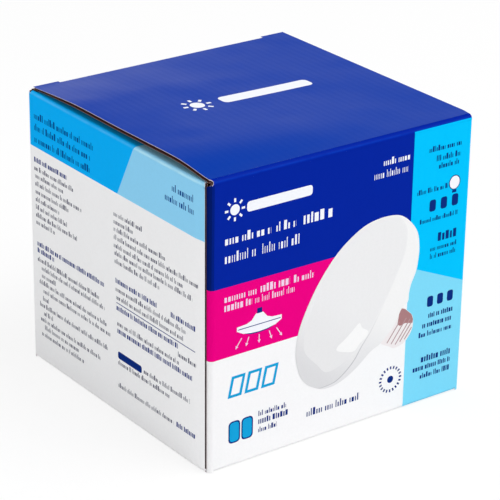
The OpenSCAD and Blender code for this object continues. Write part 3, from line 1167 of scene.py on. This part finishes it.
# Kinds of row: height of most blocks and their widths, as shares of the row's height
rowKinds = {
    "fine": (0.64, (0.07, 0.08, 0.1, 0.2)),
    "plain": (0.6, (0.13, 0.15, 0.18, 0.34)),
    "bold": (0.78, (0.2, 0.25, 0.3, 0.42)),
}

onFront = standing(0, -halfD, 0, "front")
onLeft = standing(-halfW, 0, 0, "left")
onLid = Matrix.Translation(vec(0, 0, topZ))


# A row of small blocks in groups, between two heights of the panel's own frame
def blockRow(x0, x1, low, high, kind="plain"):
    height = high - low
    body, widths = rowKinds[kind]
    blocks, x, left = [], x0, dice.randint(*printing["wordLength"])
    while x < x1:
        width = min(dice.choice(widths) * height, x1 - x)
        tall = (printing["tall"] if dice.random() < printing["tallShare"] else body) * height
        blocks.append((x + width / 2, low + printing["foot"] * height + tall / 2, width, tall))
        left -= 1
        x += width + printing["gap" if left else "wordGap"] * height
        left = left or dice.randint(*printing["wordLength"])
    return blocks


def blockRows(rows):
    return [block for row in rows for block in blockRow(*row)]


def startMarks(name):
    bpy.ops.object.select_all(action="DESELECT")
    bpy.ops.mesh.primitive_plane_add(size=mm)
    marks = bpy.context.object
    marks.name = name
    startEdit(marks)
    bpy.ops.mesh.select_all(action="SELECT")
    bpy.ops.mesh.delete(type="VERT")
    return marks


# Leaves the flat marks as a thin closed film of ink on their panel
def finishMarks(marks, ink, place, layer):
    endEdit()
    for face in marks.data.polygons:
        if face.normal.z < 0:
            face.flip()
    applyModifier(marks, "SOLIDIFY", thickness=printing["film"] * mm, offset=1)
    height = printing["clear"] + layer * printing["layer"]
    marks.data.transform(place @ Matrix.Translation(vec(0, 0, height)))
    marks.data.materials.append(ink)
    return marks


def barMarks(name, ink, place, bars, layer=0):
    marks = startMarks(name)
    for x, y, width, height in bars:
        bpy.ops.mesh.primitive_plane_add(size=1, location=vec(x, y, 0))
        bpy.ops.transform.resize(value=(width * mm, height * mm, 1))
        if min(width, height) > printing["roundFrom"]:
            offset = printing["rounding"] * min(width, height)
            bpy.ops.mesh.bevel(affect="VERTICES", offset=offset * mm, segments=3)
    return finishMarks(marks, ink, place, layer)


# Flat shapes given by their outlines
def shapeMarks(name, ink, place, outlines, layer=0):
    marks = startMarks(name)
    for outline in outlines:
        bpy.ops.mesh.select_all(action="DESELECT")
        bpy.ops.mesh.primitive_circle_add(vertices=len(outline), radius=mm, fill_type="NGON")
        mesh = bmesh.from_edit_mesh(marks.data)
        face = next(face for face in mesh.faces if face.select)
        for vertex, (x, y) in zip(face.verts, outline):
            vertex.co = vec(x, y, 0)
        bmesh.update_edit_mesh(marks.data)
    return finishMarks(marks, ink, place, layer)


def ellipse(centre, across, up, turn=0, steps=64):
    cosine, sine = math.cos(math.radians(turn)), math.sin(math.radians(turn))
    outline = []
    for step in range(steps):
        angle = 2 * math.pi * step / steps
        a, b = across * math.cos(angle), up * math.sin(angle)
        outline.append((centre[0] + a * cosine - b * sine, centre[1] + a * sine + b * cosine))
    return outline


def stroke(start, end, width):
    along = (Vector(end) - Vector(start)).normalized() * width / 2
    side = Vector((-along.y, along.x))
    return [tuple(Vector(start) - side), tuple(Vector(end) - side), tuple(Vector(end) + side),
            tuple(Vector(start) + side)]


inkWhite = printedPaper("whiteInk", printWhite)
inkNavy = printedPaper("navyInk", printNavy)
inkText = printedPaper("textInk", smallText, fluteAxis="Y")
inkSideNavy = printedPaper("sideNavyInk", sideNavy, fluteAxis="Y")
inkCyan = printedPaper("cyanInk", signCyan)
inkPale = printedPaper("paleInk", printPale)
inkBare = printedPaper("bareInk", paperWhite)

# The pictured bulb, in the front panel's x and z
picture = {
    "outer": [(26.3, 88.5), (31, 86.5), (35.4, 82.4), (38.2, 77.9), (39.3, 72.3), (39.2, 67.1), (38.2, 61.2),
              (36, 56.4), (35, 52.3), (34.6, 48.6), (31.4, 46.2), (27.8, 39.9), (21.1, 33.6), (16.2, 31.4),
              (9.2, 26.2), (3.2, 22.9), (-1.9, 21.3), (-6.9, 21.1), (-11, 22.3), (-16.1, 25.4), (-19.8, 30),
              (-21.7, 35.8), (-22.4, 41.3), (-21.6, 48), (-19.5, 54.4), (-15.3, 62.8), (-10.6, 70.1),
              (-4, 77.9), (2.8, 83.4), (10.6, 87.5), (18.6, 89)],
    "dome": [(26.3, 88.2), (30.1, 85.4), (32.6, 81), (32.6, 74), (31, 68.3), (28.2, 62.4), (23.9, 54.2),
             (18.7, 45.9), (14.8, 39.8), (10.9, 35.1), (7.5, 30.2), (3.1, 26.1), (-1.9, 23.1), (-7, 22.3),
             (-11, 22.6), (-16.2, 25.7), (-19.8, 30.2), (-21.6, 35.8), (-22.2, 41.2), (-21.4, 48),
             (-19.2, 54.3), (-15, 62.7), (-10.4, 70.1), (-3.7, 77.8), (3.1, 83.4), (10.8, 87.2),
             (18.6, 88.6)],
    "face": [(26, 87.7), (29.6, 85), (32, 80.8), (32, 74), (30.4, 68.5), (27.6, 62.6), (23.3, 54.4),
             (18.1, 46.2), (14, 40.4), (9.4, 35.2), (3.9, 31.3), (-1.6, 28.8), (-7.2, 28.6), (-11.4, 32.9),
             (-17.6, 39.9), (-18.3, 47.1), (-16.5, 53.6), (-13.4, 61.5), (-9.5, 69.2), (-3.2, 77.1),
             (3.4, 82.8), (10.9, 86.6), (18.6, 88)],
    "cap": [(30.6, 46.7), (33.3, 45.6), (36.8, 42.4), (37.8, 39.9), (37.7, 36.3), (36.1, 33.1), (33.1, 30.3),
            (28.3, 29.4), (25.6, 30.8), (21.1, 33.6), (24.3, 36.3), (27.8, 39.9)],
    "capTop": [(30.6, 46.7), (33.3, 45.6), (36.8, 42.4), (37.8, 39.9), (37.5, 38.2), (33.6, 39.2), (31, 38.6),
               (29.6, 39.6)],
    "patch": [(9.6, 45.7), (11, 43.3), (14.2, 40.9), (13.3, 38.5), (10.3, 36.6), (7.3, 33.9), (2.7, 34.7),
              (-1.6, 36.5), (-1, 38.4), (2.5, 40.5), (6.4, 43.4)],
    "ribs": [((24.4, 32.6), (30.6, 40.6)), ((26.6, 31.6), (34.2, 41.4)), ((28.8, 30.8), (36.2, 40.4)),
             ((31.2, 31.4), (37, 38.8)), ((33.6, 31.9), (37.2, 36.4))],
    "ribWidth": 0.5,
    "seamShift": (0.5, -0.3),   # how far the seam shows beyond the dome
    "downLeft": (-0.614, 0, -0.789),
    "steps": 5,                 # drawn between two points of an outline
    "white": srgb(239, 239, 239),
    "rimShade": srgb(224, 224, 226),
    "rimFrom": (-54, -24),      # where a shade starts and ends, down to the left
    "seam": srgb(190, 190, 194),
    "seamFrom": (-56, -24),
    "domeShade": srgb(215, 215, 217),
    "domeLight": srgb(234, 234, 235),
    "domeFrom": (-38, -12),
    "faceLight": srgb(232, 232, 233),
    "faceShade": srgb(228, 228, 229),
    "faceFrom": (-46, -26),
    "glow": srgb(243, 243, 243),
    "capLight": srgb(236, 231, 232),
    "capShade": srgb(176, 146, 148),
    "capWarm": srgb(168, 124, 126),
}


# Closed smooth outline through its points
def rounded(points):
    outline, steps = [], picture["steps"]
    for index in range(len(points)):
        before, start, end, after = [Vector(points[(index + ahead) % len(points)])
                                     for ahead in (-1, 0, 1, 2)]
        outline += [tuple(between(start, end, (end - before) / 2, (after - start) / 2, step / steps))
                    for step in range(steps)]
    return outline


def makePicture():
    seamX, seamZ = picture["seamShift"]
    picture["seamLine"] = [(x + seamX, z + seamZ) for x, z in picture["dome"]]
    layers = [
        ("cap", "capInk", "capLight", None),
        ("capTop", "capTopInk", "capWarm", None),
        ("ribs", "ribInk", "capShade", None),
        ("outer", "rimInk", "white", ("rimShade", "rimFrom")),
        ("seamLine", "seamInk", "white", ("seam", "seamFrom")),
        ("dome", "domeInk", "domeLight", ("domeShade", "domeFrom")),
        ("face", "faceInk", "faceLight", ("faceShade", "faceFrom")),
        ("patch", "glowInk", "glow", None),
    ]
    pieces = []
    for layer, (part, inkName, light, shading) in enumerate(layers):
        shade = shading and (picture[shading[0]], picture["downLeft"], picture[shading[1]])
        ink = printedPaper(inkName, picture[light], shade=shade)
        if part == "ribs":
            outlines = [stroke(start, end, picture["ribWidth"]) for start, end in picture["ribs"]]
        else:
            outlines = [picture[part] if part == "capTop" else rounded(picture[part])]
        pieces.append(shapeMarks(part + "Picture", ink, onFront, outlines, layer))
    return pieces


# Lamp sign in the magenta field, with five rays under it
lampSign = {
    "outline": [(-51, 60), (-51, 58.2), (-48, 56.6), (-44, 55.9), (-40.3, 55.7), (-36.6, 55.9), (-32.6, 56.6),
                (-29.6, 58.2), (-29.6, 60), (-34.2, 60.3), (-36.6, 61.2), (-38.6, 63.6), (-42, 63.6),
                (-44, 61.2), (-46.4, 60.3)],
    "base": [(-49, 57), (-44.6, 55.5), (-40.3, 55.2), (-36, 55.5), (-31.6, 57)],
    "rays": [((-48.6, 55), (-51.6, 50.9)), ((-45.2, 54.6), (-46.6, 50.9)), ((-40.3, 54.4), (-40.3, 50.7)),
             ((-35.5, 54.6), (-34.2, 50.9)), ((-32, 55), (-29.2, 50.9))],
    "head": 1.3,                # length of an arrow's head, and its half width as a share of that
    "headHalf": 0.55,
    "shaft": 0.4,
    "neck": (-40.3, 64.6, 2.4, 2.2),
    "line": (-40.3, 58.8, 20.4, 0.35),
}


def arrow(start, end):
    head = lampSign["head"]
    tip, tail = Vector(end), Vector(start)
    along = (tip - tail).normalized()
    side = Vector((-along.y, along.x)) * head * lampSign["headHalf"]
    neck = tip - along * head
    return [stroke(tail, neck, lampSign["shaft"]), [tuple(neck - side), tuple(tip), tuple(neck + side)]]


# Strokes round a centre, from one radius to another
def strokesRound(x, y, inner, outer, width, count):
    turns = [2 * math.pi * step / count for step in range(count)]
    return [stroke((x + inner * math.cos(turn), y + inner * math.sin(turn)),
                   (x + outer * math.cos(turn), y + outer * math.sin(turn)), width) for turn in turns]


sun = {"disc": 3.1, "rayFrom": 4.4, "rayTo": 6.6, "rayWidth": 1.3, "rays": 8, "steps": 32}


# Plain sun sign: a disc and its rays
def sunSign(x, y, size):
    disc = ellipse((x, y), sun["disc"] * size, sun["disc"] * size, 0, sun["steps"])
    return [disc] + strokesRound(x, y, sun["rayFrom"] * size, sun["rayTo"] * size, sun["rayWidth"] * size,
                                 sun["rays"])


# Equal blocks side by side
def equalBlocks(x0, x1, low, high, count, gap):
    width = (x1 - x0 - gap * (count - 1)) / count
    return [(x0 + width / 2 + (width + gap) * step, (low + high) / 2, width, high - low)
            for step in range(count)]


# Marks on the front panel, in its x and z. A row is its two ends, its two heights and its kind, and
# a bar its middle, width and height
frontMarks = {
    "bar": (-31.5, 109, 31, 4.2),
    "sun": (-52.6, 109.2, 0.7),
    "whiteRows": [
        (-57, -35.5, 95.2, 99.2), (-33, -23.5, 95.2, 99.2), (-20, -5.5, 95, 99.6, "bold"),
        (-57, -42, 87.6, 92, "fine"), (-39.5, -21.5, 87.6, 92, "fine"), (19, 32.5, 110.6, 113.7),
        (14.5, 32.8, 105.6, 108.9, "fine"),
    ],
    "paleRows": [
        (-57, -42, 71.6, 75), (-40, -26, 71.6, 75, "bold"), (-24, -14, 71.6, 75),
        (-57, -44, 67.8, 70.9, "bold"), (-42.5, -23, 67.8, 70.9, "fine"),
    ],
    "navyRows": [
        (-40, -26.5, 18.4, 20.8), (-40, -25, 14.8, 17.4, "bold"), (-40, -31, 11.2, 13.6),
        (-16, 11, 10.8, 14.2),
        (42.3, 59, 111.1, 113.6), (46.3, 59, 106.6, 109.2), (47.7, 59, 103.2, 105.7), (37, 53, 93.9, 96.2),
        (39, 59, 81.1, 83.2), (49, 59, 71.3, 75.2, "bold"), (45.3, 59, 67.8, 70), (45.3, 59, 64.4, 66.8),
        (46, 59, 37.9, 40.2, "bold"), (43, 59, 33.9, 36.2, "bold"), (41.3, 59, 29.9, 32.4),
        (43.2, 59, 18.3, 21.2, "bold"), (39, 59, 14.8, 17.1, "bold"), (43, 59, 10.9, 13.4),
    ],
    "equalBlocks": [(43.7, 58.8, 85.6, 90.6, 3, 2.6), (45, 58.8, 43.2, 47.9, 3, 2.2)],
    "disc": (56.5, 95.7),
    "discEdge": (3, 3.2),
    "discFace": (2.6, 2.8),
    "discFoot": (56.5, 91.9, 2.2, 1.1),
    "ring": (27, 15.5),
    "ringTicks": (4.6, 5.9, 0.75, 20),      # two radii, width and number
    "ringDot": 1.6,
    # three slanting frames: their left ends, their shape, and how wide their edges are
    "frames": [-55, -47, -39],
    "frameLow": 30.5,
    "frameHigh": 39.6,
    "frameWidth": 6.6,
    "frameSlant": 1.9,
    "frameSide": (1.5, 1.1),
    "frameRail": 1.2,
    "tiles": [(-51.6, 15.2, 5.6, 9.6), (-45.4, 15.2, 5.6, 9.6)],
    "tileEdge": 1.2,            # what the face of a tile leaves of its width and height
}


# Outlines of a slanting frame and of its hole
def slantFrame(x0):
    low, high, slant = frontMarks["frameLow"], frontMarks["frameHigh"], frontMarks["frameSlant"]
    x1, rail = x0 + frontMarks["frameWidth"], frontMarks["frameRail"]
    wide, thin = frontMarks["frameSide"]
    frame = [(x0, low), (x1, low), (x1 + slant, high), (x0 + slant, high)]
    hole = [(x0 + wide, low + rail), (x1 - thin, low + rail), (x1 + slant - wide, high - rail),
            (x0 + slant + thin, high - rail)]
    return frame, hole


def makeFrontPrint():
    marks = frontMarks
    white = [marks["bar"]] + blockRows(marks["whiteRows"])
    pale = blockRows(marks["paleRows"])
    navy = [lampSign["neck"], lampSign["line"]] + blockRows(marks["navyRows"])
    for blocks in marks["equalBlocks"]:
        navy += equalBlocks(*blocks)
    navy.append(marks["discFoot"])
    discEdge, discFace = [ellipse(marks["disc"], *marks[key], 0, 32) for key in ("discEdge", "discFace")]
    ring = strokesRound(*marks["ring"], *marks["ringTicks"])
    ring.append(ellipse(marks["ring"], marks["ringDot"], marks["ringDot"], 0, 24))
    frames, holes = zip(*[slantFrame(x0) for x0 in marks["frames"]])
    tileFaces = [(x, y, width - marks["tileEdge"], height - marks["tileEdge"])
                 for x, y, width, height in marks["tiles"]]
    rays = [part for ray in lampSign["rays"] for part in arrow(*ray)]
    return [
        barMarks("frontWhite", inkWhite, onFront, white),
        barMarks("frontPale", inkPale, onFront, pale),
        shapeMarks("frontSignEdges", inkNavy, onFront, [discEdge, lampSign["base"]]),
        shapeMarks("frontSigns", inkWhite, onFront, [lampSign["outline"], discFace], 1),
        shapeMarks("frontSun", inkWhite, onFront, sunSign(*marks["sun"])),
        shapeMarks("frontRays", inkPale, onFront, rays),
        barMarks("frontNavy", inkNavy, onFront, navy, 2),
        shapeMarks("frontRing", inkNavy, onFront, ring),
        shapeMarks("frontFrames", inkCyan, onFront, frames),
        shapeMarks("frontFrameHoles", inkBare, onFront, holes, 1),
        barMarks("frontTiles", inkNavy, onFront, marks["tiles"]),
        barMarks("frontTileFaces", inkCyan, onFront, tileFaces, 1),
    ]


# Rows of small blocks on the left panel: height of the row's middle, and its front and back end
leftMarks = {
    "tall": 2.3,
    "text": [(88.3, 30, 60), (85, 37, 59.5), (81.5, 24, 59.5), (78, 34, 59.5), (74.5, 41, 59.5),
             (71, 35, 59.5), (67.5, 27.5, 59.5), (64.2, 45, 59.5), (47.5, 11.5, 59), (44.2, 7.5, 56),
             (40.8, 45, 56),
             (37.5, 6, 58), (34, 3.5, 55), (30.3, 51, 55.5), (27, 5, 58), (23.5, 48, 55), (20.3, 11, 57.5),
             (17, 27, 54.5), (13.5, 24, 57), (88.5, -20, 0), (85.2, -13.5, 0), (82, -36, 0), (78.5, -58, 0),
             (75, -48, 0), (71.8, -54.5, -0.5), (68.3, -32, -0.5), (56.2, -51, -1), (52.7, -48.5, -1.5),
             (44.8, -57, -45), (41.3, -45.5, -2), (27.5, -53, -21), (24, -39, -2.5), (13.7, -42, -2.5)],
    "bold": [(92, 35, 60), (54.5, 7.5, 59), (51.5, 46, 59), (59.8, -30.5, -1), (59.8, -57, -40),
             (48, -45, -1.5), (38, -54.5, -2), (13.7, -57, -44)],
    "band": [(111.5, 14.5, 59.3), (106.5, 17, 59.3), (101.2, 17, 59.3), (113, -55, -40.7), (108, -55.3, -36)],
    "bandTall": 3.2,
    "bars": [(29, 50.3, 55, 0.35), (10.9, 27.4, 17.3, 3.2)],
}


# Rows from leftMarks in the panel's own frame, whose x runs to the front
def leftRows(key, tall, kind="plain"):
    return [(-y1, -y0, z - tall / 2, z + tall / 2, kind) for z, y0, y1 in leftMarks[key]]


def makeLeftPrint():
    text = blockRows(leftRows("text", leftMarks["tall"]))
    bold = blockRows(leftRows("bold", leftMarks["tall"], "bold"))
    band = blockRows(leftRows("band", leftMarks["bandTall"]))
    return [
        barMarks("leftText", inkText, onLeft, text),
        barMarks("leftBold", inkNavy, onLeft, bold + leftMarks["bars"]),
        barMarks("leftBand", inkSideNavy, onLeft, band),
    ]


lidMarks = {
    "bar": (11.5, 3.4, 45, 7),
    "sun": (-22.5, 3.4, 1),
    "cuts": range(-32, 48, 4),      # where its film is cut across, so that it can follow the lid
}


def makeLidPrint():
    bar = barMarks("lidBar", inkWhite, onLid, [lidMarks["bar"]])
    mark = shapeMarks("lidSun", inkWhite, onLid, sunSign(*lidMarks["sun"]))
    lidPrint = joinPieces([bar, mark], "lidPrint")
    lidPrint.data.transform(Matrix.Translation(vec(0, 0, printing["lidClear"])))
    startEdit(lidPrint)
    cutAcross((1, 0, 0), lidMarks["cuts"])
    endEdit()
    springLid(lidPrint)
    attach(lidPrint, "lid")


cartonPrint = joinPieces(makePicture() + makeFrontPrint() + makeLeftPrint(), "cartonPrint")
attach(cartonPrint, "carton")
makeLidPrint()
print("print laid on")

studio = {
    "floorSize": 8,
    "floorClear": 0.05,         # it lies this far under the carton, so the two faces don't fight
    "floorColour": srgb(250, 250, 250),
    "floorRough": 0.9,
    "floorWhite": 0.8,          # share of plain white that the camera sees in the floor
    "floorSheen": 0.04,         # how bright the floor is in a reflection
    "ambient": 0.58,
    "keyPower": 30,
    "keyPlace": (0.7, -0.95, 1.9),
    "keySize": 1.6,
    "fillPower": 7,
    "fillPlace": (-2.0, -0.2, 0.9),
    "fillSize": 1.6,
    "aim": (0, 0, 0.06),
    "sheenLow": (0.17, 1.4),    # height of the sky and its brightness in a reflection
    "sheenHigh": (0.3, 0),
}


def makeFloor():
    bpy.ops.object.select_all(action="DESELECT")
    bpy.ops.mesh.primitive_plane_add(size=studio["floorSize"], location=vec(0, 0, -studio["floorClear"]))
    floor = bpy.context.object
    floor.name = "floor"
    material, tree, shader = newMaterial("floorPaper")
    shader.inputs["Base Color"].default_value = studio["floorColour"]
    shader.inputs["Roughness"].default_value = studio["floorRough"]
    shader.inputs["Specular IOR Level"].default_value = 0
    white, dim = [tree.nodes.new("ShaderNodeEmission") for light in range(2)]
    dim.inputs["Strength"].default_value = studio["floorSheen"]
    ray = tree.nodes.new("ShaderNodeLightPath")
    seen = calculate(tree, "MULTIPLY", ray.outputs["Is Camera Ray"], studio["floorWhite"])
    lit = mixShaders(tree, seen, shader.outputs["BSDF"], white.outputs["Emission"])
    mirrored = mixShaders(tree, ray.outputs["Is Glossy Ray"], lit, dim.outputs["Emission"])
    tree.links.new(mirrored, tree.nodes["Material Output"].inputs["Surface"])
    floor.data.materials.append(material)


# Even light all round, a plain white backdrop, and a sky that shines in the lid only where it is low
def makeSky():
    world = bpy.data.worlds.new("studio")
    bpy.context.scene.world = world
    world.use_nodes = True
    tree = world.node_tree
    ambient = tree.nodes["Background"]
    backdrop, sky = [tree.nodes.new("ShaderNodeBackground") for light in range(2)]
    for light in (ambient, backdrop, sky):
        light.inputs["Color"].default_value = (1, 1, 1, 1)
    ambient.inputs["Strength"].default_value = studio["ambient"]
    ray = tree.nodes.new("ShaderNodeLightPath")
    direct = calculate(tree, "MAXIMUM", ray.outputs["Is Camera Ray"], ray.outputs["Is Transmission Ray"])
    behind = mixShaders(tree, direct, ambient.outputs[0], backdrop.outputs[0])
    direction = tree.nodes.new("ShaderNodeSeparateXYZ")
    tree.links.new(tree.nodes.new("ShaderNodeTexCoord").outputs["Generated"], direction.inputs[0])
    heights, strengths = zip(studio["sheenLow"], studio["sheenHigh"])
    sheen = spread(tree, direction.outputs["Z"], heights, strengths, "SMOOTHSTEP")
    tree.links.new(sheen, sky.inputs["Strength"])
    mirrored = mixShaders(tree, ray.outputs["Is Glossy Ray"], behind, sky.outputs[0])
    tree.links.new(mirrored, tree.nodes["World Output"].inputs["Surface"])


def addLamp(name, kind):
    bpy.ops.object.light_add(type="AREA", location=studio[kind + "Place"])
    lamp = bpy.context.object
    lamp.name = name
    lamp.data.size = studio[kind + "Size"]
    lamp.data.energy = studio[kind + "Power"]
    aim = Vector(studio["aim"]) - lamp.location
    lamp.rotation_euler = aim.to_track_quat("-Z", "Y").to_euler()


makeFloor()
makeSky()
addLamp("keyLight", "key")
addLamp("fillLight", "fill")
bpy.context.scene.view_settings.view_transform = "Standard"
print("studio lit")
